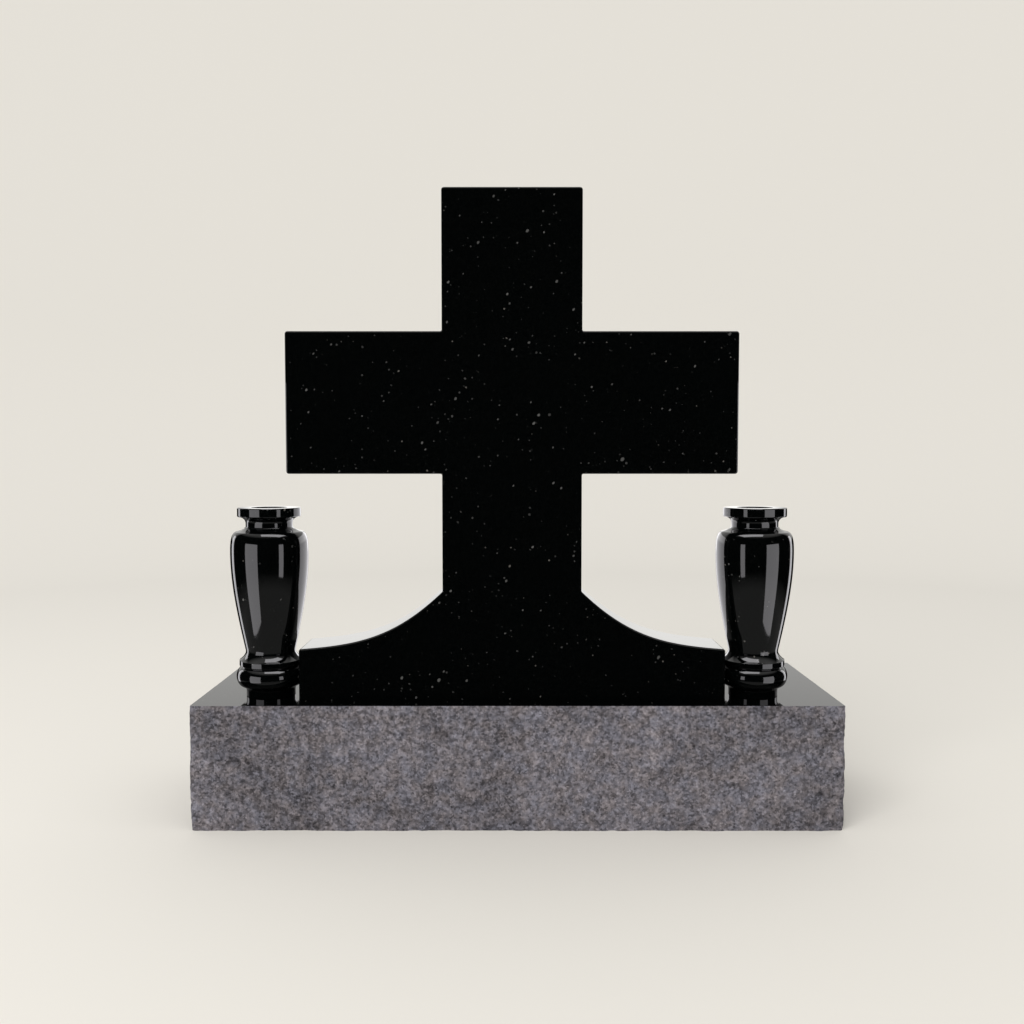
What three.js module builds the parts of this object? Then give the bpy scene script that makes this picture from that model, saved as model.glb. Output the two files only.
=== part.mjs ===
// Latin cross headstone: a polished cross stone with a swept foot and two turned flower vases,
// standing on a rock-faced base stone. Millimetres, Z up, the front faces -Y, and the origin is
// the middle of the base's underside.
import * as THREE from 'three';
import { mergeVertices } from 'three/addons/utils/BufferGeometryUtils.js';

// Base stone: a deep block with a sawn underside, a polished top and four split sides
const BASE_WIDTH = 1067;
const BASE_DEPTH = 348;
const BASE_HEIGHT = 206;
const ROCK_RELIEF = 2.6;
const ROCK_SWELL_LENGTH = 210;
const ROCK_SWELL_HEIGHT = 260;
const ROCK_SWELL_SHARE = 0.6;
const ROCK_RIPPLE_LENGTH = 74;
const ROCK_RIPPLE_HEIGHT = 123;
const ROCK_RIPPLE_BEND = 1.7;
const ROCK_CORNER_SLANT = 0.8;
const ROCK_CELLS_WIDE = 34;
const ROCK_CELLS_DEEP = 11;
const ROCK_CELLS_HIGH = 7;

// Where the stones stand on the base
const SETTING_BED = 0.3;
const CROSS_AXIS_X = -9;
const CROSS_SETBACK = 34;
const VASE_SETBACK = 86;
const VASE_TO_CROSS_GAP = 1;

// Cross stone: heights are above the base's top
const CROSS_THICKNESS = 102;
const CROSS_HEIGHT = 839;
const SHAFT_WIDTH = 229;
const ARM_SPAN = 740;
const ARM_TOP = 608;
const ARM_BOTTOM = 376;
const FOOT_WIDTH = 706;
const FOOT_SIDE_HEIGHT = 86;
const SWEEP_TOP = 182;
const SWEEP_FOOT_REACH = 95;
const SWEEP_FOOT_SLOPE = 0.078;
const SWEEP_SHAFT_REACH = 81.5;
const SWEEP_SHAFT_SLOPE = 0.964;
const SWEEP_FACETS = 28;
const ARRIS = 2;
const ARRIS_FACETS = 2;

// Vase: profile points are [radius, height over the foot], and a pull is the point that a curved
// stretch leans towards
const VASE_HEIGHT = 318.6;
const FOOT_RING_TOP = [41, 8];
const FOOT_COVE_PULL = [41, 15.5];
const BULGE_RADIUS = 57;
const BULGE_SWELL = [12, 17];
const BULGE_MIDDLE = 33.5;
const BULGE_ENDS_DEG = [-70, 62];
const GROOVE = [48.6, 50.4];
const COLLAR_BOTTOM = [51.8, 52.4];
const COLLAR_TOP = [51.8, 61];
const COLLAR_PULL = [44.3, 66];
const WAIST_BOTTOM = [41.3, 73.5];
const WAIST_TOP = [41.3, 77];
const BODY_LOWER_PULL = [52.9, 132];
const BODY_UPPER_PULL = [64.7, 188];
const BELLY = [64.7, 243];
const SHOULDER_LOWER_PULL = [64.7, 262];
const SHOULDER_UPPER_PULL = [63, 274];
const SHOULDER = [56, 278];
const NECK_PULL = [41.3, 281];
const NECK_FILLET = [39.8, 286];
const NECK_BOTTOM = [38.8, 286];
const NECK_TOP = [38.8, 293];
const RIM_PULL = [40, 302];
const RIM_RADIUS = 52.6;
const RIM_BOTTOM = 303.3;
const RIM_ARRIS = 1.2;
const BORE_RADIUS = 29;
const BORE_DEPTH = 170;
const VASE_SIDES = 30;
const VASE_CURVE_FACETS = 4;

const polishedBlackGranite = new THREE.MeshStandardMaterial({
  color: 0x08090b,
  roughness: 0.08,
  metalness: 0,
});
const rockFacedGreyGranite = new THREE.MeshStandardMaterial({
  color: 0x6a686c,
  roughness: 0.85,
  metalness: 0,
});

const BASE_FRONT = -BASE_DEPTH / 2;

// Height of the split surface over the mean face: a long swell and a shorter bent ripple, both
// dying out at the straight pitched line along the top edge.
function rockRelief(x, y, z) {
  const turn = 2 * Math.PI;
  const along = x + ROCK_CORNER_SLANT * y;
  const swell = Math.sin(turn * along / ROCK_SWELL_LENGTH) * Math.cos(turn * z / ROCK_SWELL_HEIGHT);
  const bend = ROCK_RIPPLE_BEND * Math.sin(turn * z / ROCK_RIPPLE_HEIGHT);
  const ripple = Math.sin(turn * along / ROCK_RIPPLE_LENGTH + bend);
  const belowPitchedLine = Math.min(1, (BASE_HEIGHT - z) / (BASE_HEIGHT / ROCK_CELLS_HIGH));
  const mixed = ROCK_SWELL_SHARE * swell + (1 - ROCK_SWELL_SHARE) * ripple;
  return ROCK_RELIEF * belowPitchedLine * mixed;
}

// A block whose side faces are pushed in and out along their own normals by the rock relief.
function makeBaseStone() {
  const geometry = new THREE.BoxGeometry(
    BASE_WIDTH,
    BASE_DEPTH,
    BASE_HEIGHT,
    ROCK_CELLS_WIDE,
    ROCK_CELLS_DEEP,
    ROCK_CELLS_HIGH,
  );
  geometry.translate(0, 0, BASE_HEIGHT / 2);
  const position = geometry.getAttribute('position');
  const onFace = (value, size) => (Math.abs(value) > size / 2 - 0.01 ? Math.sign(value) : 0);
  for (let i = 0; i < position.count; i += 1) {
    const x = position.getX(i);
    const y = position.getY(i);
    const z = position.getZ(i);
    const relief = rockRelief(x, y, z);
    position.setX(i, x + relief * onFace(x, BASE_WIDTH));
    position.setY(i, y + relief * onFace(y, BASE_DEPTH));
  }
  return nameMesh('base_stone', geometry, rockFacedGreyGranite);
}

// Half of the cross's outline on one side, from the foot to the top, appended to a shape.
function addCrossSide(shape, side, upwards) {
  const foot = [side * FOOT_WIDTH / 2, FOOT_SIDE_HEIGHT];
  const shaft = [side * SHAFT_WIDTH / 2, SWEEP_TOP];
  const nearFoot = [
    foot[0] - side * SWEEP_FOOT_REACH,
    foot[1] + SWEEP_FOOT_REACH * SWEEP_FOOT_SLOPE,
  ];
  const nearShaft = [
    shaft[0] + side * SWEEP_SHAFT_REACH,
    shaft[1] - SWEEP_SHAFT_REACH * SWEEP_SHAFT_SLOPE,
  ];
  const limbs = [
    [side * SHAFT_WIDTH / 2, ARM_BOTTOM],
    [side * ARM_SPAN / 2, ARM_BOTTOM],
    [side * ARM_SPAN / 2, ARM_TOP],
    [side * SHAFT_WIDTH / 2, ARM_TOP],
    [side * SHAFT_WIDTH / 2, CROSS_HEIGHT],
  ];
  if (upwards) {
    shape.lineTo(...foot);
    shape.bezierCurveTo(...nearFoot, ...nearShaft, ...shaft);
    limbs.forEach((point) => shape.lineTo(...point));
  } else {
    limbs.reverse().forEach((point) => shape.lineTo(...point));
    shape.lineTo(...shaft);
    shape.bezierCurveTo(...nearShaft, ...nearFoot, ...foot);
  }
}

// The cross outline carried through the slab's thickness, with eased arrises inside that size.
function makeCrossStone() {
  const outline = new THREE.Shape();
  outline.moveTo(-FOOT_WIDTH / 2, 0);
  outline.lineTo(FOOT_WIDTH / 2, 0);
  addCrossSide(outline, 1, true);
  addCrossSide(outline, -1, false);
  outline.closePath();
  const geometry = new THREE.ExtrudeGeometry(outline, {
    depth: CROSS_THICKNESS - 2 * ARRIS,
    curveSegments: SWEEP_FACETS,
    bevelEnabled: true,
    bevelThickness: ARRIS,
    bevelSize: ARRIS,
    bevelOffset: -ARRIS,
    bevelSegments: ARRIS_FACETS,
  });
  const mesh = nameMesh('cross_stone', geometry, polishedBlackGranite);
  mesh.rotation.x = Math.PI / 2;
  const back = BASE_FRONT + CROSS_SETBACK + CROSS_THICKNESS;
  mesh.position.set(CROSS_AXIS_X, back - ARRIS, BASE_HEIGHT + SETTING_BED);
  return mesh;
}

// The turned outline of a vase, from the middle of its foot up to the rim and down the bore.
function vaseProfile() {
  const [lowerEnd, upperEnd] = BULGE_ENDS_DEG.map(THREE.MathUtils.degToRad);
  const bulgeCentre = BULGE_RADIUS - BULGE_SWELL[0];
  const bulgeStart = [
    bulgeCentre + BULGE_SWELL[0] * Math.cos(lowerEnd),
    BULGE_MIDDLE + BULGE_SWELL[1] * Math.sin(lowerEnd),
  ];
  const boreFloor = VASE_HEIGHT - BORE_DEPTH;
  const profile = new THREE.Path();
  profile.moveTo(0, 0);
  profile.lineTo(FOOT_RING_TOP[0], 0);
  profile.lineTo(...FOOT_RING_TOP);
  profile.quadraticCurveTo(...FOOT_COVE_PULL, ...bulgeStart);
  profile.absellipse(bulgeCentre, BULGE_MIDDLE, ...BULGE_SWELL, lowerEnd, upperEnd, false, 0);
  profile.lineTo(...GROOVE);
  profile.lineTo(...COLLAR_BOTTOM);
  profile.lineTo(...COLLAR_TOP);
  profile.quadraticCurveTo(...COLLAR_PULL, ...WAIST_BOTTOM);
  profile.lineTo(...WAIST_TOP);
  profile.bezierCurveTo(...BODY_LOWER_PULL, ...BODY_UPPER_PULL, ...BELLY);
  profile.bezierCurveTo(...SHOULDER_LOWER_PULL, ...SHOULDER_UPPER_PULL, ...SHOULDER);
  profile.quadraticCurveTo(...NECK_PULL, ...NECK_FILLET);
  profile.lineTo(...NECK_BOTTOM);
  profile.lineTo(...NECK_TOP);
  profile.quadraticCurveTo(...RIM_PULL, RIM_RADIUS - RIM_ARRIS, RIM_BOTTOM);
  profile.lineTo(RIM_RADIUS, RIM_BOTTOM + RIM_ARRIS);
  profile.lineTo(RIM_RADIUS, VASE_HEIGHT - RIM_ARRIS);
  profile.lineTo(RIM_RADIUS - RIM_ARRIS, VASE_HEIGHT);
  profile.lineTo(BORE_RADIUS + RIM_ARRIS, VASE_HEIGHT);
  profile.lineTo(BORE_RADIUS, VASE_HEIGHT - RIM_ARRIS);
  profile.lineTo(BORE_RADIUS, boreFloor);
  profile.lineTo(0, boreFloor);
  return profile.getPoints(VASE_CURVE_FACETS);
}

// One vase, turned about its axis, standing beside the cross's foot on the given side.
function makeVase(name, side) {
  const geometry = new THREE.LatheGeometry(vaseProfile(), VASE_SIDES);
  const mesh = nameMesh(name, geometry, polishedBlackGranite);
  mesh.rotation.x = Math.PI / 2;
  const fromCrossAxis = FOOT_WIDTH / 2 + VASE_TO_CROSS_GAP + BULGE_RADIUS;
  mesh.position.set(
    CROSS_AXIS_X + side * fromCrossAxis,
    BASE_FRONT + VASE_SETBACK,
    BASE_HEIGHT + SETTING_BED,
  );
  return mesh;
}

// A mesh with shared corners, under the sub-part's own name.
function nameMesh(name, geometry, material) {
  geometry.deleteAttribute('normal');
  geometry.deleteAttribute('uv');
  const mesh = new THREE.Mesh(mergeVertices(geometry, 0.001), material);
  mesh.name = name;
  return mesh;
}

const headstone = new THREE.Group();
headstone.add(makeBaseStone());
headstone.add(makeCrossStone());
headstone.add(makeVase('vase_left', -1));
headstone.add(makeVase('vase_right', 1));

export default headstone;
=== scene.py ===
"""Latin cross headstone: a polished slab with a swept foot and two turned vases on a split base.

Laid out as an add-on and run as a script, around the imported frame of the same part. Metres, +Z up,
the front towards -Y, the origin in the middle of the base's underside.
"""
import math

import bpy
import numpy as np
from bpy.props import FloatProperty, FloatVectorProperty, IntProperty, PointerProperty
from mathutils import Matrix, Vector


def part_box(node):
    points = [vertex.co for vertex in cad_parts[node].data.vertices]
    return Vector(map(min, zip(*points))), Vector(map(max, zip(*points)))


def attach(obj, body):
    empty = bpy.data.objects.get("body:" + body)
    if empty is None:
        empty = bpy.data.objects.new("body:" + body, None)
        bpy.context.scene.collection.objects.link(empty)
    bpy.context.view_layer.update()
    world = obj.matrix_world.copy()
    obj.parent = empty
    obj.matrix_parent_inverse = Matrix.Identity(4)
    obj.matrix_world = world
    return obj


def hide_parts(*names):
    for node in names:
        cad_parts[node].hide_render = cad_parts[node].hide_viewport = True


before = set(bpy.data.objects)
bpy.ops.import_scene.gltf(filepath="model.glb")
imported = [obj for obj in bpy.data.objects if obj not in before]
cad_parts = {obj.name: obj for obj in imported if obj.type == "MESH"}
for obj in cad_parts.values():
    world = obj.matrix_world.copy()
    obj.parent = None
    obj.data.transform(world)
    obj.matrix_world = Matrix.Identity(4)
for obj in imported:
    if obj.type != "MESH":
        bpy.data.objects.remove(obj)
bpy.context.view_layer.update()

bl_info = {
    "name": "Latin Cross Headstone",
    "version": (1, 0, 0),
    "blender": (4, 5, 0),
    "location": "View3D > Sidebar > Headstone",
    "description": "Builds a polished granite cross, its split base and its two turned vases",
    "category": "Add Mesh",
}

BODY = "root"

# Where the frame puts each stone: the lowest and the highest corner of its box.
CROSS_LOW, CROSS_HIGH = (np.array(corner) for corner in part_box("cross_stone"))
VASE_NODES = ("vase_left", "vase_right")
POLISHED_FINISH = "mirror_polished_black_granite"

# The turned profile of a vase, as (radius, height) stations from the foot up, in metres.
FOOT_RING_TOP = (0.0410, 0.0080)
FOOT_COVE_PULL = (0.0410, 0.0155)
BULGE_CENTRE = (0.0450, 0.0335)
BULGE_SWELL = (0.0120, 0.0170)
BULGE_ENDS = (math.radians(-70), math.radians(62))
GROOVE = (0.0486, 0.0504)
COLLAR_BOTTOM = (0.0518, 0.0524)
COLLAR_TOP = (0.0518, 0.0610)
COLLAR_PULL = (0.0443, 0.0660)
WAIST_BOTTOM = (0.0413, 0.0735)
WAIST_TOP = (0.0413, 0.0770)
BODY_PULLS = ((0.0529, 0.1320), (0.0647, 0.1880))
BELLY = (0.0647, 0.2430)
SHOULDER_PULLS = ((0.0647, 0.2620), (0.0630, 0.2740))
SHOULDER = (0.0560, 0.2780)
NECK_PULL = (0.0413, 0.2810)
NECK_FILLET = (0.0398, 0.2860)
NECK_BOTTOM = (0.0388, 0.2860)
NECK_TOP = (0.0388, 0.2930)
RIM_PULL = (0.0400, 0.3020)
RIM_BOTTOM = 0.3033

# How finely curves and rounded edges are drawn.
SWEEP_POINTS = 72
CORNER_POINTS = 7
BEND_POINTS = 5
CURVE_POINTS = 22
BODY_POINTS = 48
SOFTENED_SHARE = 0.3
SOFTENED_TURN = math.radians(16)
BASE_CORNER_POINTS = 9
PAPER_SIDES = 128
COVE_POINTS = 24
CRISP_EDGE = math.radians(38)

# The slab's arris is a flat chamfer with eased ends: shares of its width, and the turn of the
# normal there from the face to the side.
CHAMFER_SHARES = (0.0, 0.2, 0.8, 1.0)
CHAMFER_TURNS = (0.0, math.pi / 4, math.pi / 4, math.pi / 2)

# The slab stands flush on the base, so its bottom edge keeps almost no arris.
BED_ARRIS = 0.0003
BED_ARRIS_REACH = 0.004

# The base's split sides: wave in metres, fall and share of the swell, the scallops and the grit.
SPLIT_LAYERS = ((0.210, 3.4, 0.36), (0.045, 3.0, 0.24), (0.010, 2.6, 0.11))
# What is left of the relief at the line under the top, and how far below it is whole.
TOP_LINE_RELIEF = 0.12
TOP_LINE_REACH = 0.016
# How the bottom edge is nibbled: wave and fall, the noise where it starts and is whole, the
# greatest depth, and how far up it reaches.
NIBBLE_WAVE, NIBBLE_FALL = 0.060, 2.6
NIBBLE_NOISE = (-0.6, 1.6)
NIBBLE_DEPTH = 0.0022
NIBBLE_REACH = 0.012

# The camera: a 35 mm lens on a 36 mm frame, 1.63 m in front of the slab, looking 3 degrees down.
LENS_MM = 35.0
SENSOR_MM = 36.0
CAMERA_PLACE = (-0.009, -1.77047, 0.60627)
CAMERA_PITCH = 0.0530

# The floor is a ring, and the base hides the small hole in its middle.
FLOOR_HOLE = 0.0005
AIR_COLOUR = "#fffefb"

# The key light: a soft box at the upper left, facing the lower part of the stone.
KEY_PLACE = (-2.7, -4.6, 4.2)
KEY_TARGET = (0.0, 0.0, 0.3)
KEY_SIZE = (3.6, 3.6)
KEY_COLOUR = "#fffdfb"

# Glowing cards round each vase, with their edges 1.1 m off: the first and the last bearing from
# the front in degrees, positive towards the cross, the lowest and the highest edge in metres, and
# the glow.
CARD_DISTANCE = 1.1
VASE_CARDS = {
    "broad": (-60.0, -21.5, -0.25, 0.61, 2.3),
    "narrow": (40.0, 53.0, 0.12, 0.61, 2.3),
    "inner_rim": (112.0, 178.0, -0.75, 0.80, 1.8),
    "outer_rim": (-126.0, -112.0, -0.75, 0.80, 2.6),
}
# A level card over each vase, for the upward slopes of its collar and its shoulder.
TOP_CARD_OFFSET = (0.35, -0.46, 1.30)
TOP_CARD_SIZE = (1.30, 0.80)
TOP_CARD_GLOW = 4.5
CARD_COLOUR = "#fdfbff"
# A tall card beyond each end of the cross, for its outer upright arrises: how far aside of the
# cross's axis and how far back it stands, its width, its lowest and highest edge, and its glow.
CROSS_CARD_OFFSET = (1.47, 0.105)
CROSS_CARD_WIDTH = 0.2
CROSS_CARD_SPAN = (-0.10, 0.815)
CROSS_CARD_GLOW = 1.4


def linear(hex_colour):
    """sRGB hex to linear light, by the sRGB curve's straight toe and its 2.4 power."""
    parts = np.array([int(hex_colour[i:i + 2], 16) for i in (1, 3, 5)]) / 255.0
    light = np.where(parts <= 0.04045, parts / 12.92, ((parts + 0.055) / 1.055) ** 2.4)
    return tuple(float(part) for part in light)


def rgba(colour):
    """A colour with full cover, as node sockets take it."""
    return (*colour, 1.0)


def length(label, text, metres):
    """A length that a user can change, in metres."""
    return FloatProperty(name=label, description=text, default=metres, min=0.0, unit="LENGTH")


def colour(label, text, hex_colour):
    """A colour that a user can change, from its sRGB hex value."""
    return FloatVectorProperty(
        name=label, description=text, default=linear(hex_colour), subtype="COLOR", min=0.0, max=1.0
    )


class CrossSizes(bpy.types.PropertyGroup):
    """Sizes of the cross slab"""

    shaft_width: length("Shaft width", "Width of the upright shaft", 0.229)
    arm_top: length("Arm top", "Height of the arms' upper side over the slab's foot", 0.608)
    arm_bottom: length("Arm bottom", "Height of the arms' underside over the slab's foot", 0.376)
    foot_width: length("Foot width", "Width of the spread foot", 0.706)
    foot_side: length("Foot side", "Height of the foot's upright ends", 0.086)
    sweep_top: length("Sweep top", "Height at which the sweeps meet the shaft", 0.182)
    sweep_reach: FloatVectorProperty(
        name="Sweep reach",
        description="Length of the sweep's pulls at the foot's end and at the shaft",
        default=(0.095, 0.0815),
        size=2,
        unit="LENGTH",
    )
    sweep_slope: FloatVectorProperty(
        name="Sweep slope",
        description="Rise of the sweep's pulls at the foot's end and at the shaft",
        default=(0.078, 0.964),
        size=2,
    )
    corner: length("Corner", "Rounding of the outline's outer corners", 0.0045)
    crease: length("Crease", "Rounding of the outline's inner corners", 0.0028)
    arris: length("Arris", "Chamfer between the faces and the sides", 0.0024)


class BaseSizes(bpy.types.PropertyGroup):
    """Sizes of the split base stone"""

    width: length("Width", "Mean width of the base", 1.067)
    depth: length("Depth", "Mean depth of the base", 0.348)
    height: length("Height", "Height of the base", 0.206)
    corner: length("Corner", "Rounding of the upright corners", 0.006)
    arris: length("Arris", "Worn line between the polished top and the split sides", 0.0009)
    relief: length("Relief", "Greatest height of the split sides over their mean face", 0.0026)
    step: length("Step", "Spacing of the points on the split sides", 0.0028)
    seed: IntProperty(name="Seed", description="Which split surface is drawn", default=7)


class VaseSizes(bpy.types.PropertyGroup):
    """Sizes of the turned vases"""

    rim_radius: length("Rim radius", "Radius of the flat rim", 0.0526)
    rim_arris: length("Rim arris", "Worn edge of the rim", 0.0012)
    height: length("Height", "Height of a vase", 0.3186)
    bore_radius: length("Bore radius", "Radius of the drilled hole", 0.029)
    bore_depth: length("Bore depth", "Depth of the drilled hole", 0.170)
    edge: length("Edge", "Rounding of the turned edges", 0.0011)
    sides: IntProperty(name="Sides", description="Facets around a vase", default=128, min=12)


class StoneColours(bpy.types.PropertyGroup):
    """Colours of the stones"""

    black_ground: colour("Black ground", "Darkest crystals of the polished granite", "#010202")
    black_crystal: colour("Black crystal", "Lightest dark crystals of the polished granite", "#040505")
    dull_fleck: colour("Dull fleck", "Darkest flecks in the polished granite", "#141515")
    silver_fleck: colour("Silver fleck", "Brightest flecks in the polished granite", "#656564")
    bronze_fleck: colour("Bronze fleck", "Warm flecks in the polished granite", "#5f5c57")
    split_dark: colour("Split dark", "Dark grains of the split face", "#272528")
    split_light: colour("Split light", "Light grains of the split face", "#a5a1a7")
    split_cool: colour("Split cool", "Cast of the split face's cool mottles", "#f0f4ff")
    split_warm: colour("Split warm", "Cast of the split face's warm mottles", "#fffaf9")


class StudioSettings(bpy.types.PropertyGroup):
    """Floor and light of the studio"""

    floor_colour: colour("Floor", "Pale floor and backdrop", "#e9e6e0")
    floor_radius: length("Floor radius", "Radius of the level floor that throws light back", 2.4)
    cove_radius: length("Cove radius", "Radius at which the backdrop starts to rise", 3.6)
    cove_bend: length("Cove bend", "Radius of the bend from floor to backdrop", 1.4)
    cove_height: length("Cove height", "Height of the backdrop", 4.5)
    air_light: FloatProperty(name="Air light", description="Soft light from all round", default=0.81)
    key_power: FloatProperty(
        name="Key power", description="Soft light from the upper left", default=190.0, unit="POWER"
    )
    card_glow: FloatProperty(name="Card glow", description="Share of the cards' full light", default=1.0)


class HeadstoneSettings(bpy.types.PropertyGroup):
    """All sizes and colours of the headstone"""

    cross: PointerProperty(type=CrossSizes)
    base: PointerProperty(type=BaseSizes)
    vase: PointerProperty(type=VaseSizes)
    stone: PointerProperty(type=StoneColours)
    studio: PointerProperty(type=StudioSettings)


# Curves and surfaces


def bezier(handles, share):
    """Bezier points at the given shares of the way: repeated straight blends of the handles."""
    blend = np.asarray(share)[:, None, None]
    points = np.repeat(np.asarray(handles, float)[None], len(share), axis=0)
    while points.shape[1] > 1:
        points = points[:, :-1] * (1 - blend) + points[:, 1:] * blend
    return points[:, 0]


def round_corner(corner, before, after, radius, count):
    """An arc between two edges that meet at a corner, as points and the path's heading at each.

    It starts radius x tan(half the turn) before the corner. The heading runs evenly from the first
    edge's to the second's, and the points are the heading's sum along the arc.
    """
    heading = math.atan2(before[1], before[0])
    turn = math.atan2(before[0] * after[1] - before[1] * after[0], np.dot(before, after))
    headings = heading + turn * np.linspace(0.0, 1.0, count)
    start = np.asarray(corner) - np.asarray(before) * radius * math.tan(abs(turn) / 2)
    run = np.stack(
        [np.sin(headings) - math.sin(heading), math.cos(heading) - np.cos(headings)], axis=1
    )
    return start + math.copysign(radius, turn) * run, headings


def soften_corners(path, radius):
    """The path with each sharp corner cut back and joined by a short parabola.

    A corner gives way to a support point, the parabola from a cut before it to a cut after it, and
    another support point. The cut is radius x tan(half the turn), at most a share of either edge.
    """
    edge = np.diff(path, axis=0)
    reach = np.linalg.norm(edge, axis=1)
    edge = edge / reach[:, None]
    turn = np.arccos(np.clip(np.sum(edge[:-1] * edge[1:], axis=1), -1.0, 1.0))
    corner = np.flatnonzero(turn > SOFTENED_TURN) + 1
    room = SOFTENED_SHARE * np.minimum(reach[corner - 1], reach[corner])
    cut = np.minimum(radius * np.tan(turn[corner - 1] / 2), room)[:, None]
    start = path[corner] - edge[corner - 1] * cut
    end = path[corner] + edge[corner] * cut
    share = np.linspace(0.0, 1.0, BEND_POINTS)[None, :, None]
    curve = (
        start[:, None] * (1 - share) ** 2
        + path[corner][:, None] * 2 * share * (1 - share)
        + end[:, None] * share ** 2
    )
    support = (start - edge[corner - 1] * cut / 2, end + edge[corner] * cut / 2)
    bends = np.concatenate([support[0][:, None], curve, support[1][:, None]], axis=1)
    kept = np.setdiff1d(np.arange(len(path)), corner)
    place = corner[:, None] + np.linspace(-0.4, 0.4, bends.shape[1])
    order = np.argsort(np.concatenate([kept, place.ravel()]))
    return np.concatenate([path[kept], bends.reshape(-1, 2)])[order]


def ring_faces(rows, columns, start=0):
    """Four-sided faces of a grid of rows whose columns close into rings, wound along, then up."""
    row, column = np.meshgrid(np.arange(rows - 1), np.arange(columns), indexing="ij")
    after = (column + 1) % columns
    corners = [(row, column), (row, after), (row + 1, after), (row + 1, column)]
    return np.stack([start + r * columns + c for r, c in corners], axis=-1).reshape(-1, 4)


def rough_field(draw, shape, step, wave, fall):
    """Random heights of unit deviation, level over waves longer than wave and falling below it.

    White noise is filtered in its spectrum by (1 + (wave x wave number)^2) ^ (-fall / 2).
    """
    noise = np.fft.fft2(draw.standard_normal(shape))
    across = np.fft.fftfreq(shape[0], step)[:, None]
    along = np.fft.fftfreq(shape[1], step)[None, :]
    field = np.fft.ifft2(noise * (1 + wave ** 2 * (across ** 2 + along ** 2)) ** (-fall / 2)).real
    return (field - field.mean()) / field.std()


def ease(values, start, end):
    """Smooth step from 0 at start to 1 at end."""
    share = np.clip((values - start) / (end - start), 0.0, 1.0)
    return share * share * (3 - 2 * share)


def make_piece(name, points, faces, materials):
    """A smooth-shaded mesh object at the origin, its place in its mesh."""
    mesh = bpy.data.meshes.new(name)
    mesh.from_pydata(points.reshape(-1, 3).tolist(), [], faces)
    mesh.polygons.foreach_set("use_smooth", np.ones(len(mesh.polygons), bool))
    for material in materials:
        mesh.materials.append(material)
    mesh.update()
    piece = bpy.data.objects.new(name, mesh)
    bpy.context.scene.collection.objects.link(piece)
    return piece


def join_frame(piece, node):
    """Put a piece in the place of a CAD node, on the one body, and hide the node."""
    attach(piece, BODY)
    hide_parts(node)


# Materials


def add_node(tree, kind, inputs, **settings):
    """Add a node, set its properties, and give its inputs values or links."""
    node = tree.nodes.new(kind)
    for name, value in settings.items():
        setattr(node, name, value)
    for key, value in inputs.items():
        if isinstance(value, bpy.types.NodeSocket):
            tree.links.new(value, node.inputs[key])
        else:
            node.inputs[key].default_value = value
    return node


def start_material(name):
    """An empty node material with its shader and its Object coordinates."""
    material = bpy.data.materials.new(name)
    material.use_nodes = True
    tree = material.node_tree
    shader = tree.nodes["Principled BSDF"]
    place = add_node(tree, "ShaderNodeTexCoord", {}).outputs["Object"]
    return material, tree, shader, place


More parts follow.
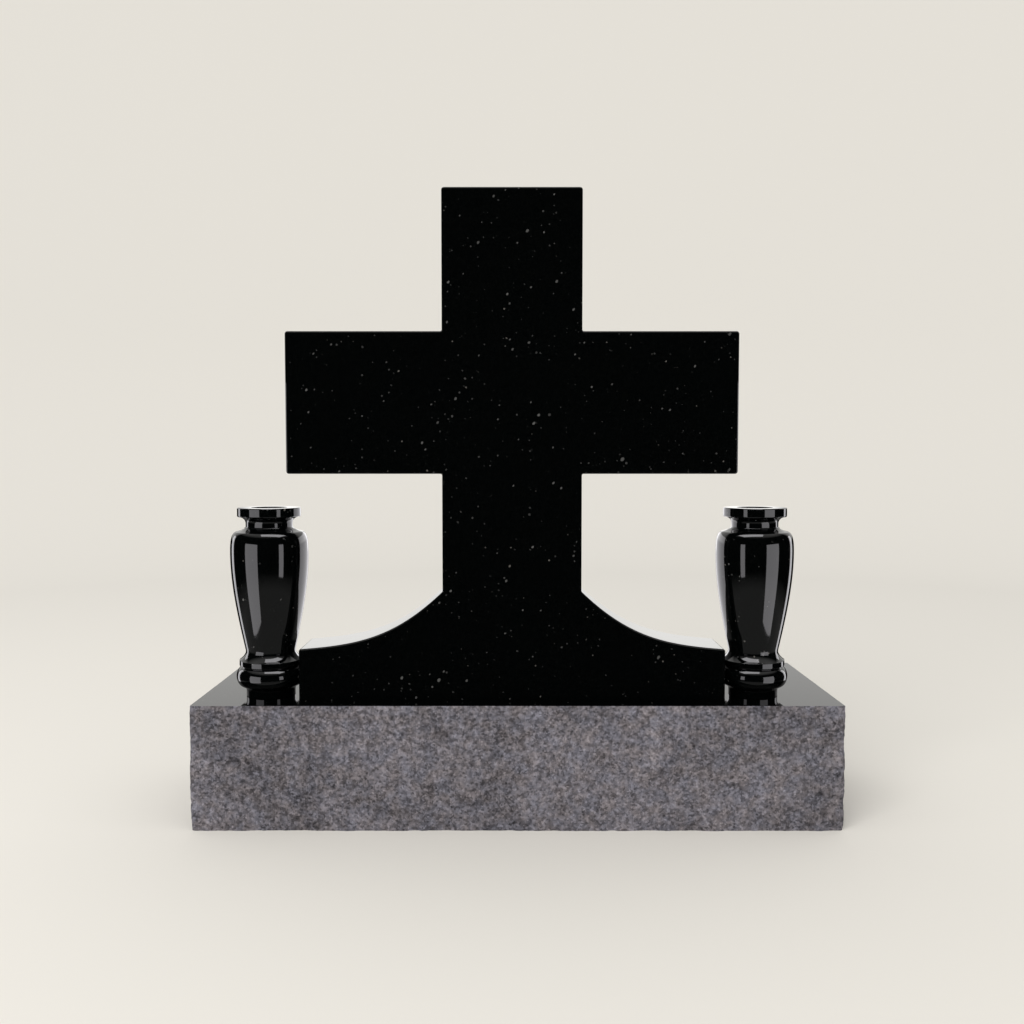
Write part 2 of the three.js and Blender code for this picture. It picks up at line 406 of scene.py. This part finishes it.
def polished_black_granite(stone):
    """Black granite ground to a mirror polish.

    The eye gets a near-black ground of interlocked dark crystals a few millimetres across, sparse
    grey flecks of feldspar and a few bronze ones of mica in loose drifts, and sharp reflections.
    """
    crystal_mm = 2.4
    drift_mm = 70.0
    ragged_mm = 3.0
    ragged_reach = 0.0016
    edge_mm = 0.6
    crowding = (0.40, 1.35)
    least_chance = 0.12
    shine_power = 2.5
    warm_chance = (0.88, 0.94)
    warm_share = 0.7
    roughness = (0.035, 0.065)
    refraction = 1.56
    # Spacing and greatest radius in mm, tilt in the slab's plane, stretch along it, and brightness.
    fleck_layers = (
        (12.5, 2.25, math.radians(38), 1.4, 0.85),
        (10.5, 1.85, 0.0, 1.0, 0.62),
        (8.5, 1.35, math.radians(-50), 1.45, 0.76),
    )
    material, tree, shader, place = start_material(POLISHED_FINISH)
    ragged = add_node(
        tree, "ShaderNodeTexNoise", {"Vector": place, "Scale": 1000 / ragged_mm, "Detail": 1.0}
    )
    centred = add_node(
        tree, "ShaderNodeVectorMath", {0: ragged.outputs["Color"], 1: (0.5, 0.5, 0.5)},
        operation="SUBTRACT",
    )
    bent = add_node(
        tree, "ShaderNodeVectorMath",
        {0: centred.outputs[0], 1: (ragged_reach, ragged_reach, ragged_reach), 2: place},
        operation="MULTIPLY_ADD",
    ).outputs[0]
    crystals = add_node(
        tree, "ShaderNodeTexVoronoi", {"Vector": bent, "Scale": 1000 / crystal_mm}
    )
    crystal_tone = add_node(tree, "ShaderNodeSeparateColor", {0: crystals.outputs["Color"]})
    surface = add_node(
        tree, "ShaderNodeMix",
        {0: crystal_tone.outputs[0], 6: rgba(stone.black_ground), 7: rgba(stone.black_crystal)},
        data_type="RGBA",
    ).outputs[2]
    drift = add_node(
        tree, "ShaderNodeTexNoise", {"Vector": place, "Scale": 1000 / drift_mm, "Detail": 1.0}
    )
    crowd = add_node(
        tree, "ShaderNodeMapRange",
        {0: drift.outputs[0], 1: 0.30, 2: 0.70, 3: crowding[0], 4: crowding[1]},
    )
    for spacing_mm, radius_mm, tilt, stretch, brightness in fleck_layers:
        turned = add_node(
            tree, "ShaderNodeMapping",
            {"Vector": bent, "Rotation": (0.0, tilt, 0.0), "Scale": (1.0, 1.0, stretch)},
            vector_type="TEXTURE",
        )
        flecks = add_node(
            tree, "ShaderNodeTexVoronoi",
            {"Vector": turned.outputs[0], "Scale": 1000 / spacing_mm},
        )
        chance = add_node(tree, "ShaderNodeSeparateColor", {0: flecks.outputs["Color"]})
        own_radius = add_node(
            tree, "ShaderNodeMapRange",
            {0: chance.outputs[0], 1: least_chance, 2: 1.0, 3: 0.0, 4: radius_mm / spacing_mm},
        )
        inside = add_node(
            tree, "ShaderNodeMath", {0: own_radius.outputs[0], 1: crowd.outputs[0]},
            operation="MULTIPLY",
        )
        depth = add_node(
            tree, "ShaderNodeMath", {0: inside.outputs[0], 1: flecks.outputs["Distance"]},
            operation="SUBTRACT",
        )
        mask = add_node(
            tree, "ShaderNodeMapRange",
            {0: depth.outputs[0], 1: 0.0, 2: edge_mm / spacing_mm, 3: 0.0, 4: 1.0},
        )
        shine = add_node(
            tree, "ShaderNodeMath", {0: chance.outputs[1], 1: shine_power}, operation="POWER"
        )
        lit = add_node(
            tree, "ShaderNodeMath", {0: shine.outputs[0], 1: brightness}, operation="MULTIPLY"
        )
        silver = add_node(
            tree, "ShaderNodeMix",
            {0: lit.outputs[0], 6: rgba(stone.dull_fleck), 7: rgba(stone.silver_fleck)},
            data_type="RGBA",
        )
        warm = add_node(
            tree, "ShaderNodeMapRange",
            {0: chance.outputs[2], 1: warm_chance[0], 2: warm_chance[1], 3: 0.0, 4: warm_share},
        )
        fleck_colour = add_node(
            tree, "ShaderNodeMix",
            {0: warm.outputs[0], 6: silver.outputs[2], 7: rgba(stone.bronze_fleck)},
            data_type="RGBA",
        )
        surface = add_node(
            tree, "ShaderNodeMix", {0: mask.outputs[0], 6: surface, 7: fleck_colour.outputs[2]},
            data_type="RGBA",
        ).outputs[2]
    polish = add_node(
        tree, "ShaderNodeMapRange",
        {0: crystal_tone.outputs[1], 1: 0.0, 2: 1.0, 3: roughness[0], 4: roughness[1]},
    )
    tree.links.new(surface, shader.inputs["Base Color"])
    tree.links.new(polish.outputs[0], shader.inputs["Roughness"])
    shader.inputs["IOR"].default_value = refraction
    return material


def split_granite(stone):
    """The same granite as it splits: a rough, dry, crystalline face.

    The eye gets a mid grey salt-and-pepper grain of crushed crystals 3 to 7 mm across, dark grains
    in loose swarms, faint cool and warm mottles a few centimetres wide, and a grit that scatters
    all light.
    """
    crystal_mm = 3.4
    grain_mm = 6.0
    grit_mm = 8.0
    mottle_mm = 30.0
    cloud_mm = 140.0
    middle_tone = 0.517
    grain_darkness = -0.15
    contrast_power = 1.6
    crystal_step = 0.25
    bump_metres = 0.0022
    bump_strength = 0.8
    material, tree, shader, place = start_material("split_grey_granite")
    crystals = add_node(
        tree, "ShaderNodeTexVoronoi", {"Vector": place, "Scale": 1000 / crystal_mm}
    )
    crystal_tone = add_node(tree, "ShaderNodeSeparateColor", {0: crystals.outputs["Color"]})
    grit = add_node(
        tree, "ShaderNodeTexNoise",
        {"Vector": place, "Scale": 1000 / grit_mm, "Detail": 3.0, "Roughness": 0.65},
    )
    mottle = add_node(
        tree, "ShaderNodeTexNoise",
        {"Vector": place, "Scale": 1000 / mottle_mm, "Detail": 3.0, "Roughness": 0.6},
    )
    cloud = add_node(
        tree, "ShaderNodeTexNoise", {"Vector": place, "Scale": 1000 / cloud_mm, "Detail": 2.0}
    )
    tone = None
    layers = (
        (crystal_tone.outputs[0], 0.38),
        (grit.outputs[0], 0.92),
        (mottle.outputs[0], 0.40),
        (cloud.outputs[0], 0.42),
    )
    for value, weight in layers:
        start = middle_tone - sum(layer[1] for layer in layers) / 2 if tone is None else tone
        tone = add_node(
            tree, "ShaderNodeMath", {0: value, 1: weight, 2: start}, operation="MULTIPLY_ADD"
        ).outputs[0]
    grains = add_node(
        tree, "ShaderNodeTexVoronoi", {"Vector": place, "Scale": 1000 / grain_mm}
    )
    grain_chance = add_node(tree, "ShaderNodeSeparateColor", {0: grains.outputs["Color"]})
    grain_size = add_node(
        tree, "ShaderNodeMapRange", {0: grain_chance.outputs[0], 1: 0.45, 2: 1.0, 3: 0.0, 4: 0.42}
    )
    swarm = add_node(
        tree, "ShaderNodeMapRange", {0: mottle.outputs[0], 1: 0.62, 2: 0.38, 3: 0.4, 4: 1.1}
    )
    grain_reach = add_node(
        tree, "ShaderNodeMath", {0: grain_size.outputs[0], 1: swarm.outputs[0]},
        operation="MULTIPLY",
    )
    grain_depth = add_node(
        tree, "ShaderNodeMath", {0: grain_reach.outputs[0], 1: grains.outputs["Distance"]},
        operation="SUBTRACT",
    )
    dark = add_node(
        tree, "ShaderNodeMapRange",
        {0: grain_depth.outputs[0], 1: 0.0, 2: 0.12, 3: 0.0, 4: grain_darkness},
    )
    shade = add_node(tree, "ShaderNodeMath", {0: tone, 1: dark.outputs[0]}, operation="ADD")
    lift = add_node(
        tree, "ShaderNodeMath", {0: shade.outputs[0], 1: contrast_power}, operation="POWER"
    )
    grey = add_node(
        tree, "ShaderNodeMix",
        {0: lift.outputs[0], 6: rgba(stone.split_dark), 7: rgba(stone.split_light)},
        data_type="RGBA",
    )
    mottle_hue = add_node(tree, "ShaderNodeSeparateColor", {0: mottle.outputs["Color"]})
    warmth = add_node(
        tree, "ShaderNodeMapRange", {0: mottle_hue.outputs[1], 1: 0.38, 2: 0.62, 3: 0.0, 4: 1.0}
    )
    cast = add_node(
        tree, "ShaderNodeMix",
        {0: warmth.outputs[0], 6: rgba(stone.split_cool), 7: rgba(stone.split_warm)},
        data_type="RGBA",
    )
    tinted = add_node(
        tree, "ShaderNodeMix", {0: 1.0, 6: grey.outputs[2], 7: cast.outputs[2]},
        data_type="RGBA", blend_type="MULTIPLY",
    )
    height = add_node(
        tree, "ShaderNodeMath", {0: crystal_tone.outputs[1], 1: crystal_step, 2: grit.outputs[0]},
        operation="MULTIPLY_ADD",
    )
    bump = add_node(
        tree, "ShaderNodeBump",
        {"Height": height.outputs[0], "Distance": bump_metres, "Strength": bump_strength},
    )
    tree.links.new(tinted.outputs[2], shader.inputs["Base Color"])
    tree.links.new(bump.outputs[0], shader.inputs["Normal"])
    shader.inputs["Roughness"].default_value = 0.86
    shader.inputs["IOR"].default_value = 1.5
    return material


def studio_paper(settings):
    """Matte pale paper, plain and even, for the floor and the backdrop."""
    material, tree, shader, _ = start_material("studio_paper")
    shader.inputs["Base Color"].default_value = rgba(settings.floor_colour)
    shader.inputs["Roughness"].default_value = 0.9
    shader.inputs["Specular IOR Level"].default_value = 0.0
    return material


def shared_granite(context):
    """The polished granite, made once for all the pieces that wear it."""
    made = bpy.data.materials.get(POLISHED_FINISH)
    return made or polished_black_granite(context.scene.headstone.stone)


# The stones


def cross_outline(sizes):
    """The slab's outline as points (x, z) and headings, round from the middle of the bottom.

    The right half is the foot's end, the sweep (a cubic Bezier), the shaft, the arm and the top,
    with an arc at each corner. The left half is its mirror image, walked the other way.
    """
    height = CROSS_HIGH[2] - CROSS_LOW[2]
    arm = (CROSS_HIGH[0] - CROSS_LOW[0]) / 2
    shaft = sizes.shaft_width / 2
    foot = sizes.foot_width / 2
    out, up, back = np.array([1.0, 0.0]), np.array([0.0, 1.0]), np.array([-1.0, 0.0])
    foot_reach, shaft_reach = sizes.sweep_reach
    foot_slope, shaft_slope = sizes.sweep_slope
    sweep = np.array([
        (foot, sizes.foot_side),
        (foot - foot_reach, sizes.foot_side + foot_reach * foot_slope),
        (shaft + shaft_reach, sizes.sweep_top - shaft_reach * shaft_slope),
        (shaft, sizes.sweep_top),
    ])
    pulls = np.diff(sweep, axis=0)
    first, last = (pull / np.linalg.norm(pull) for pull in (pulls[0], pulls[2]))
    trim = (
        sizes.corner / (3 * np.linalg.norm(pulls[0])),
        1 - sizes.crease / (6 * np.linalg.norm(pulls[2])),
    )
    share = np.linspace(*trim, SWEEP_POINTS)
    slope = bezier(pulls, share)
    lift = np.array([[foot, BED_ARRIS_REACH]])
    runs = [
        round_corner((foot, 0.0), out, up, BED_ARRIS * 2, CORNER_POINTS),
        (lift, np.array([math.pi / 2])),
        round_corner(sweep[0], up, first, sizes.corner, CORNER_POINTS),
        (bezier(sweep, share), np.arctan2(slope[:, 1], slope[:, 0])),
        round_corner(sweep[3], last, up, sizes.crease, CORNER_POINTS),
        round_corner((shaft, sizes.arm_bottom), up, out, sizes.crease, CORNER_POINTS),
        round_corner((arm, sizes.arm_bottom), out, up, sizes.corner, CORNER_POINTS),
        round_corner((arm, sizes.arm_top), up, back, sizes.corner, CORNER_POINTS),
        round_corner((shaft, sizes.arm_top), back, up, sizes.crease, CORNER_POINTS),
        round_corner((shaft, height), up, back, sizes.corner, CORNER_POINTS),
    ]
    points = np.concatenate([run[0] for run in runs])
    headings = np.concatenate([run[1] for run in runs])
    points = np.concatenate([points, points[::-1] * (-1, 1)])
    return points, np.concatenate([headings, -headings[::-1]])


def cross_surface(sizes):
    """Points and normals of the slab: its outline carried from the front face to the back face.

    Across the slab the outline is drawn in by arris x (1 - s) and set back by arris x s, as the
    share s of the chamfer goes from 0 to 1 at the front and back again at the rear.
    """
    outline, heading = cross_outline(sizes)
    arris = np.where(outline[:, 1] < BED_ARRIS_REACH / 2, BED_ARRIS, sizes.arris)
    share = np.concatenate([CHAMFER_SHARES, CHAMFER_SHARES[::-1]])[:, None]
    turn = np.concatenate([CHAMFER_TURNS, CHAMFER_TURNS[::-1]])[:, None]
    rear = np.repeat([0.0, 1.0], len(CHAMFER_SHARES))[:, None]
    inset = arris * (1 - share)
    setback = arris * share
    outward = np.stack([np.sin(heading), -np.cos(heading)], axis=1)
    middle = (CROSS_LOW[0] + CROSS_HIGH[0]) / 2
    points = np.stack([
        middle + outline[:, 0] - outward[:, 0] * inset,
        np.where(rear, CROSS_HIGH[1] - setback, CROSS_LOW[1] + setback),
        CROSS_LOW[2] + outline[:, 1] - outward[:, 1] * inset,
    ], axis=-1)
    normals = np.stack([
        outward[:, 0] * np.sin(turn),
        np.broadcast_to(np.where(rear, 1.0, -1.0) * np.cos(turn), inset.shape),
        outward[:, 1] * np.sin(turn),
    ], axis=-1)
    return points, normals


def vase_profile(sizes):
    """A vase's half section, (radius, height) from the middle of its foot to its bore's floor."""
    share = np.linspace(0.0, 1.0, CURVE_POINTS)
    swell = np.linspace(*BULGE_ENDS, CURVE_POINTS)
    bulge = np.array(BULGE_CENTRE) + np.stack([np.cos(swell), np.sin(swell)], axis=1) * BULGE_SWELL
    rim, arris, bore = sizes.rim_radius, sizes.rim_arris, sizes.bore_radius
    floor = sizes.height - sizes.bore_depth
    path = np.concatenate([
        [(0.0, 0.0), (FOOT_RING_TOP[0], 0.0)],
        bezier([FOOT_RING_TOP, FOOT_COVE_PULL, bulge[0]], share),
        bulge[1:],
        [GROOVE, COLLAR_BOTTOM],
        bezier([COLLAR_TOP, COLLAR_PULL, WAIST_BOTTOM], share),
        bezier([WAIST_TOP, *BODY_PULLS, BELLY], np.linspace(0.0, 1.0, BODY_POINTS)),
        bezier([BELLY, *SHOULDER_PULLS, SHOULDER], share)[1:],
        bezier([SHOULDER, NECK_PULL, NECK_FILLET], share)[1:],
        [NECK_BOTTOM],
        bezier([NECK_TOP, RIM_PULL, (rim - arris, RIM_BOTTOM)], share),
        [(rim, RIM_BOTTOM + arris), (rim, sizes.height - arris), (rim - arris, sizes.height)],
        [(bore + arris, sizes.height), (bore, sizes.height - arris), (bore, floor), (0.0, floor)],
    ])
    return soften_corners(path, sizes.edge)


def vase_surface(sizes, node):
    """Points and faces of one vase: its profile carried round the upright axis.

    x = radius x cos a and y = radius x sin a about the middle of the node's box, for a whole turn
    of a. The two ends of the profile lie on the axis and close it with fans.
    """
    low, high = (np.array(corner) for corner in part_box(node))
    profile = vase_profile(sizes)
    sides = sizes.sides
    angle = np.linspace(0.0, 2 * math.pi, sides, endpoint=False)
    circle = np.stack([np.cos(angle), np.sin(angle), np.zeros(sides)], axis=1)
    walls = profile[1:-1]
    rows = len(walls)
    lift = np.array([0.0, 0.0, 1.0])
    grid = walls[:, 0, None, None] * circle + walls[:, 1, None, None] * lift
    ends = profile[[0, -1], 1][:, None] * lift
    middle = np.array([(low[0] + high[0]) / 2, (low[1] + high[1]) / 2, low[2]])
    points = np.concatenate([grid.reshape(-1, 3), ends]) + middle
    column = np.arange(sides)
    after = (column + 1) % sides
    under, top = rows * sides, (rows - 1) * sides
    foot = np.stack([np.full(sides, under), after, column], axis=1)
    floor = np.stack([np.full(sides, under + 1), top + column, top + after], axis=1)
    return points, ring_faces(rows, sides).tolist() + foot.tolist() + floor.tolist()


def base_loop(sizes):
    """Evenly spaced points round the base and their outward directions: a rectangle with arcs."""
    half = np.array([sizes.width, sizes.depth]) / 2
    signs = np.array([(1, -1), (1, 1), (-1, 1), (-1, -1)])
    ways = np.array([(1.0, 0.0), (0.0, 1.0), (-1.0, 0.0), (0.0, -1.0), (1.0, 0.0)])
    arcs = [
        round_corner(sign * half, ways[i], ways[i + 1], sizes.corner, BASE_CORNER_POINTS)
        for i, sign in enumerate(signs)
    ]
    path = np.concatenate([arc[0] for arc in arcs] + [arcs[0][0][:1]])
    heading = np.unwrap(np.concatenate([arc[1] for arc in arcs] + [arcs[0][1][:1]]))
    run = np.concatenate([[0.0], np.cumsum(np.linalg.norm(np.diff(path, axis=0), axis=1))])
    place = np.linspace(0.0, run[-1], round(run[-1] / sizes.step), endpoint=False)
    points = np.stack([np.interp(place, run, path[:, axis]) for axis in (0, 1)], axis=1)
    facing = np.interp(place, run, heading)
    return points, np.stack([np.sin(facing), -np.cos(facing)], axis=1)


def base_surface(sizes):
    """Points of the base in rows from its underside to its polished top.

    Each point of the loop is lifted to its row's height and pushed outwards by the split relief: a
    broad swell, shallow scallops and grit, held within the relief by a tanh. It dies out at the
    straight line under the top, and the bottom edge is nibbled back here and there.
    """
    loop, outward = base_loop(sizes)
    draw = np.random.default_rng(sizes.seed)
    rows = round(sizes.height / sizes.step)
    shape = (2 * rows, len(loop))
    split = sum(
        share * rough_field(draw, shape, sizes.step, wave, fall)[:rows]
        for wave, fall, share in SPLIT_LAYERS
    )
    nibble = rough_field(draw, shape, sizes.step, NIBBLE_WAVE, NIBBLE_FALL)[:1]
    level = np.linspace(0.0, sizes.height - sizes.arris, rows)[:, None]
    below_top = sizes.height - level
    relief = np.tanh(split) * sizes.relief
    relief *= TOP_LINE_RELIEF + (1 - TOP_LINE_RELIEF) * ease(below_top, 0.0, TOP_LINE_REACH)
    relief -= NIBBLE_DEPTH * ease(nibble, *NIBBLE_NOISE) * (1 - ease(level, 0.0, NIBBLE_REACH))
    side = np.concatenate([relief, relief[-1:] - sizes.arris])
    level = np.concatenate([level, [[sizes.height]]])
    points = loop[None] + outward[None] * side[..., None]
    return np.concatenate([points, np.broadcast_to(level[..., None], (*side.shape, 1))], axis=-1)


class HEADSTONE_OT_cross_stone(bpy.types.Operator):
    """Make the polished slab in the shape of a plain cross with a swept foot"""

    bl_idname = "headstone.cross_stone"
    bl_label = "Cross stone"

    def execute(self, context):
        points, normals = cross_surface(context.scene.headstone.cross)
        rows, columns = points.shape[:2]
        sides = ring_faces(rows, columns)[:, ::-1]
        front = list(range(columns))
        rear = list(range(rows * columns - 1, (rows - 1) * columns - 1, -1))
        faces = sides.tolist() + [front, rear]
        piece = make_piece("granite_cross", points, faces, [shared_granite(context)])
        piece.data.normals_split_custom_set_from_vertices(normals.reshape(-1, 3).tolist())
        join_frame(piece, "cross_stone")
        return {"FINISHED"}


class HEADSTONE_OT_base_stone(bpy.types.Operator):
    """Make the base: rough split sides under a polished top"""

    bl_idname = "headstone.base_stone"
    bl_label = "Base stone"

    def execute(self, context):
        settings = context.scene.headstone
        points = base_surface(settings.base)
        rows, columns = points.shape[:2]
        top = list(range((rows - 1) * columns, rows * columns))
        under = list(range(columns - 1, -1, -1))
        faces = ring_faces(rows, columns).tolist() + [under, top]
        materials = [split_granite(settings.stone), shared_granite(context)]
        piece = make_piece("granite_base", points, faces, materials)
        finish = np.zeros(len(faces), int)
        finish[-1] = 1
        piece.data.polygons.foreach_set("material_index", finish)
        piece.data.set_sharp_from_angle(angle=CRISP_EDGE)
        join_frame(piece, "base_stone")
        return {"FINISHED"}


class HEADSTONE_OT_vases(bpy.types.Operator):
    """Make the two turned vases that stand beside the foot"""

    bl_idname = "headstone.vases"
    bl_label = "Vases"

    def execute(self, context):
        for node in VASE_NODES:
            points, faces = vase_surface(context.scene.headstone.vase, node)
            piece = make_piece(f"granite_{node}", points, faces, [shared_granite(context)])
            join_frame(piece, node)
        return {"FINISHED"}


# The studio


def paper_ring(name, radii, heights, material):
    """A backdrop surface: a (radius, height) profile carried round the upright axis."""
    angle = np.linspace(0.0, 2 * math.pi, PAPER_SIDES, endpoint=False)
    circle = np.stack([np.cos(angle), np.sin(angle)], axis=1)
    level = np.broadcast_to(heights[:, None, None], (len(radii), PAPER_SIDES, 1))
    points = np.concatenate([radii[:, None, None] * circle, level], axis=-1)
    faces = ring_faces(len(radii), PAPER_SIDES)[:, ::-1]
    paper = make_piece(name, points, faces.tolist(), [material])
    paper.visible_glossy = False
    return paper


def lay_paper(settings):
    """A level floor, and round it a backdrop that bends up, seen but casting and taking no light."""
    material = studio_paper(settings)
    radii = np.array([FLOOR_HOLE, settings.floor_radius])
    paper_ring("studio_floor", radii, np.zeros(2), material)
    bend = np.linspace(0.0, math.pi / 2, COVE_POINTS)
    radii = settings.cove_radius + settings.cove_bend * np.sin(bend)
    heights = settings.cove_bend * (1 - np.cos(bend))
    radii = np.concatenate([[settings.floor_radius], radii, radii[-1:]])
    heights = np.concatenate([[0.0], heights, [settings.cove_height]])
    cove = paper_ring("studio_cove", radii, heights, material)
    cove.visible_diffuse = False
    cove.visible_shadow = False


def light_air(settings):
    """Even soft air for matte surfaces, and for polished ones a dark room.

    The room has a pale far wall above the horizon, a dim floor and ceiling, and low in the wall two
    bright windows, one to each side, which the sweeps of the foot mirror to the camera.
    """
    world = bpy.data.worlds.new("studio_air")
    bpy.context.scene.world = world
    world.use_nodes = True
    tree = world.node_tree
    tree.nodes.clear()
    way = add_node(tree, "ShaderNodeTexCoord", {}).outputs["Generated"]
    axes = add_node(tree, "ShaderNodeSeparateXYZ", {0: way})
    aside = add_node(tree, "ShaderNodeMath", {0: axes.outputs[0]}, operation="ABSOLUTE").outputs[0]
    ahead, up = axes.outputs[1], axes.outputs[2]
    # Each glow is a product of ramps over one part of the direction: from, to, and the two values.
    glows = {
        "far wall": ((ahead, 0.35, 0.55, 0.0, 1.0), (up, 0.02, 0.07, 0.0, 0.85)),
        "windows": (
            (ahead, 0.70, 0.80, 0.0, 1.0), (aside, 0.095, 0.120, 0.0, 1.0),
            (aside, 0.25, 0.28, 1.0, 0.0), (up, -0.095, -0.075, 0.0, 1.0),
            (up, 0.17, 0.21, 1.0, 0.0), (up, -0.06, 0.15, 0.98, 1.80),
        ),
        "floor": ((up, -0.36, -0.24, 0.2, 0.004),),
        "ceiling": ((up, 0.60, 0.85, 0.004, 0.6),),
    }
    room = 0.0
    for ramps in glows.values():
        glow = 1.0
        for value, start, end, low, high in ramps:
            ramp = add_node(
                tree, "ShaderNodeMapRange", {0: value, 1: start, 2: end, 3: low, 4: high}
            )
            glow = add_node(
                tree, "ShaderNodeMath", {0: ramp.outputs[0], 1: glow}, operation="MULTIPLY"
            ).outputs[0]
        room = add_node(tree, "ShaderNodeMath", {0: glow, 1: room}, operation="MAXIMUM").outputs[0]
    pale = rgba(linear(AIR_COLOUR))
    mirrored = add_node(tree, "ShaderNodeBackground", {"Color": pale, "Strength": room})
    soft = add_node(tree, "ShaderNodeBackground", {"Color": pale, "Strength": settings.air_light})
    path = add_node(tree, "ShaderNodeLightPath", {})
    mix = add_node(
        tree, "ShaderNodeMixShader",
        {0: path.outputs["Is Glossy Ray"], 1: soft.outputs[0], 2: mirrored.outputs[0]},
    )
    add_node(tree, "ShaderNodeOutputWorld", {"Surface": mix.outputs[0]})


def hang_lamp(name, place, target, size, power, colour_hex):
    """A rectangular soft box at a place, facing a target."""
    data = bpy.data.lights.new(name, "AREA")
    data.shape = "RECTANGLE"
    data.size, data.size_y = size
    data.energy = power
    data.color = linear(colour_hex)
    lamp = bpy.data.objects.new(name, data)
    way = np.array(target) - np.array(place)
    lamp.location = place
    lamp.rotation_euler = (
        math.atan2(math.hypot(way[0], way[1]), -way[2]),
        0.0,
        math.atan2(-way[0], way[1]),
    )
    lamp.visible_camera = False
    bpy.context.scene.collection.objects.link(lamp)
    return lamp


def hang_card(name, place, target, size, glow, piece):
    """A glowing card that only the polish of the given piece shows."""
    card = hang_lamp(name, place, target, size, glow * math.pi * size[0] * size[1], CARD_COLOUR)
    card.visible_diffuse = False
    shown_in = bpy.data.collections.new(name)
    shown_in.objects.link(piece)
    card.light_linking.receiver_collection = shown_in


def card_round(vase, side, bearings):
    """Middle and width of a card that spans two bearings round a vase."""
    first, last = np.radians(bearings)
    middle = (first + last) / 2
    half = (last - first) / 2
    distance = CARD_DISTANCE * math.cos(half)
    place = vase + distance * np.array([-side * math.sin(middle), -math.cos(middle)])
    return place, 2 * CARD_DISTANCE * math.sin(half)


def hang_cards(settings):
    """Cards for the polish: four round each vase and one over it, one beyond each end of the cross."""
    axis = (CROSS_LOW[0] + CROSS_HIGH[0]) / 2
    low, high = CROSS_CARD_SPAN
    level = (low + high) / 2
    aside, back = CROSS_CARD_OFFSET
    for side, label in ((-1, "left"), (1, "right")):
        hang_card(
            f"cross_{label}",
            (axis + side * aside, back, level),
            (axis + side * CROSS_HIGH[0], CROSS_LOW[1], level),
            (CROSS_CARD_WIDTH, high - low), CROSS_CARD_GLOW * settings.card_glow,
            bpy.data.objects["granite_cross"],
        )
    for side, node in zip((-1, 1), VASE_NODES):
        piece = bpy.data.objects[f"granite_{node}"]
        vase = np.mean(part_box(node), axis=0)
        for label, (first, last, low, high, glow) in VASE_CARDS.items():
            place, width = card_round(vase[:2], side, (first, last))
            level = (low + high) / 2
            hang_card(
                f"{node}_{label}", (*place, level), (*vase[:2], level), (width, high - low),
                glow * settings.card_glow, piece,
            )
        inwards, forwards, upwards = TOP_CARD_OFFSET
        over = vase + np.array([-side * inwards, forwards, upwards])
        hang_card(
            f"{node}_top", over, over - np.array([0.0, 0.0, 1.0]), TOP_CARD_SIZE,
            TOP_CARD_GLOW * settings.card_glow, piece,
        )


def hang_key(settings):
    """A large soft box at the upper left for the matte stone, which the polish doesn't show."""
    key = hang_lamp(
        "key_box", KEY_PLACE, KEY_TARGET, KEY_SIZE, settings.key_power, KEY_COLOUR
    )
    key.visible_glossy = False


def set_camera():
    """The camera of the main view, level across and pitched a little down."""
    data = bpy.data.cameras.new("main_view")
    data.lens = LENS_MM
    data.sensor_width = SENSOR_MM
    camera = bpy.data.objects.new("main_view", data)
    camera.location = CAMERA_PLACE
    camera.rotation_euler = (math.pi / 2 - CAMERA_PITCH, 0.0, 0.0)
    bpy.context.scene.collection.objects.link(camera)
    bpy.context.scene.camera = camera


class HEADSTONE_OT_studio(bpy.types.Operator):
    """Set up the pale floor, the soft light and the camera"""

    bl_idname = "headstone.studio"
    bl_label = "Studio"

    def execute(self, context):
        settings = context.scene.headstone.studio
        lay_paper(settings)
        light_air(settings)
        hang_key(settings)
        hang_cards(settings)
        set_camera()
        context.scene.view_settings.view_transform = "Standard"
        return {"FINISHED"}


class HEADSTONE_PT_tools(bpy.types.Panel):
    """The headstone's pieces and their sizes"""

    bl_label = "Headstone"
    bl_idname = "HEADSTONE_PT_tools"
    bl_space_type = "VIEW_3D"
    bl_region_type = "UI"
    bl_category = "Headstone"

    def draw(self, context):
        for operator in OPERATORS:
            self.layout.operator(operator.bl_idname)
        for group in ("cross", "base", "vase", "stone", "studio"):
            box = self.layout.box()
            settings = getattr(context.scene.headstone, group)
            for name in settings.__annotations__:
                box.prop(settings, name)


OPERATORS = (
    HEADSTONE_OT_base_stone,
    HEADSTONE_OT_cross_stone,
    HEADSTONE_OT_vases,
    HEADSTONE_OT_studio,
)
CLASSES = (
    CrossSizes,
    BaseSizes,
    VaseSizes,
    StoneColours,
    StudioSettings,
    HeadstoneSettings,
    *OPERATORS,
    HEADSTONE_PT_tools,
)


def register():
    for cls in CLASSES:
        bpy.utils.register_class(cls)
    bpy.types.Scene.headstone = PointerProperty(type=HeadstoneSettings)


def unregister():
    del bpy.types.Scene.headstone
    for cls in reversed(CLASSES):
        bpy.utils.unregister_class(cls)


def main():
    """Build the stones and the studio."""
    register()
    bpy.ops.headstone.base_stone()
    bpy.ops.headstone.cross_stone()
    bpy.ops.headstone.vases()
    bpy.ops.headstone.studio()


if __name__ == "__main__":
    main()
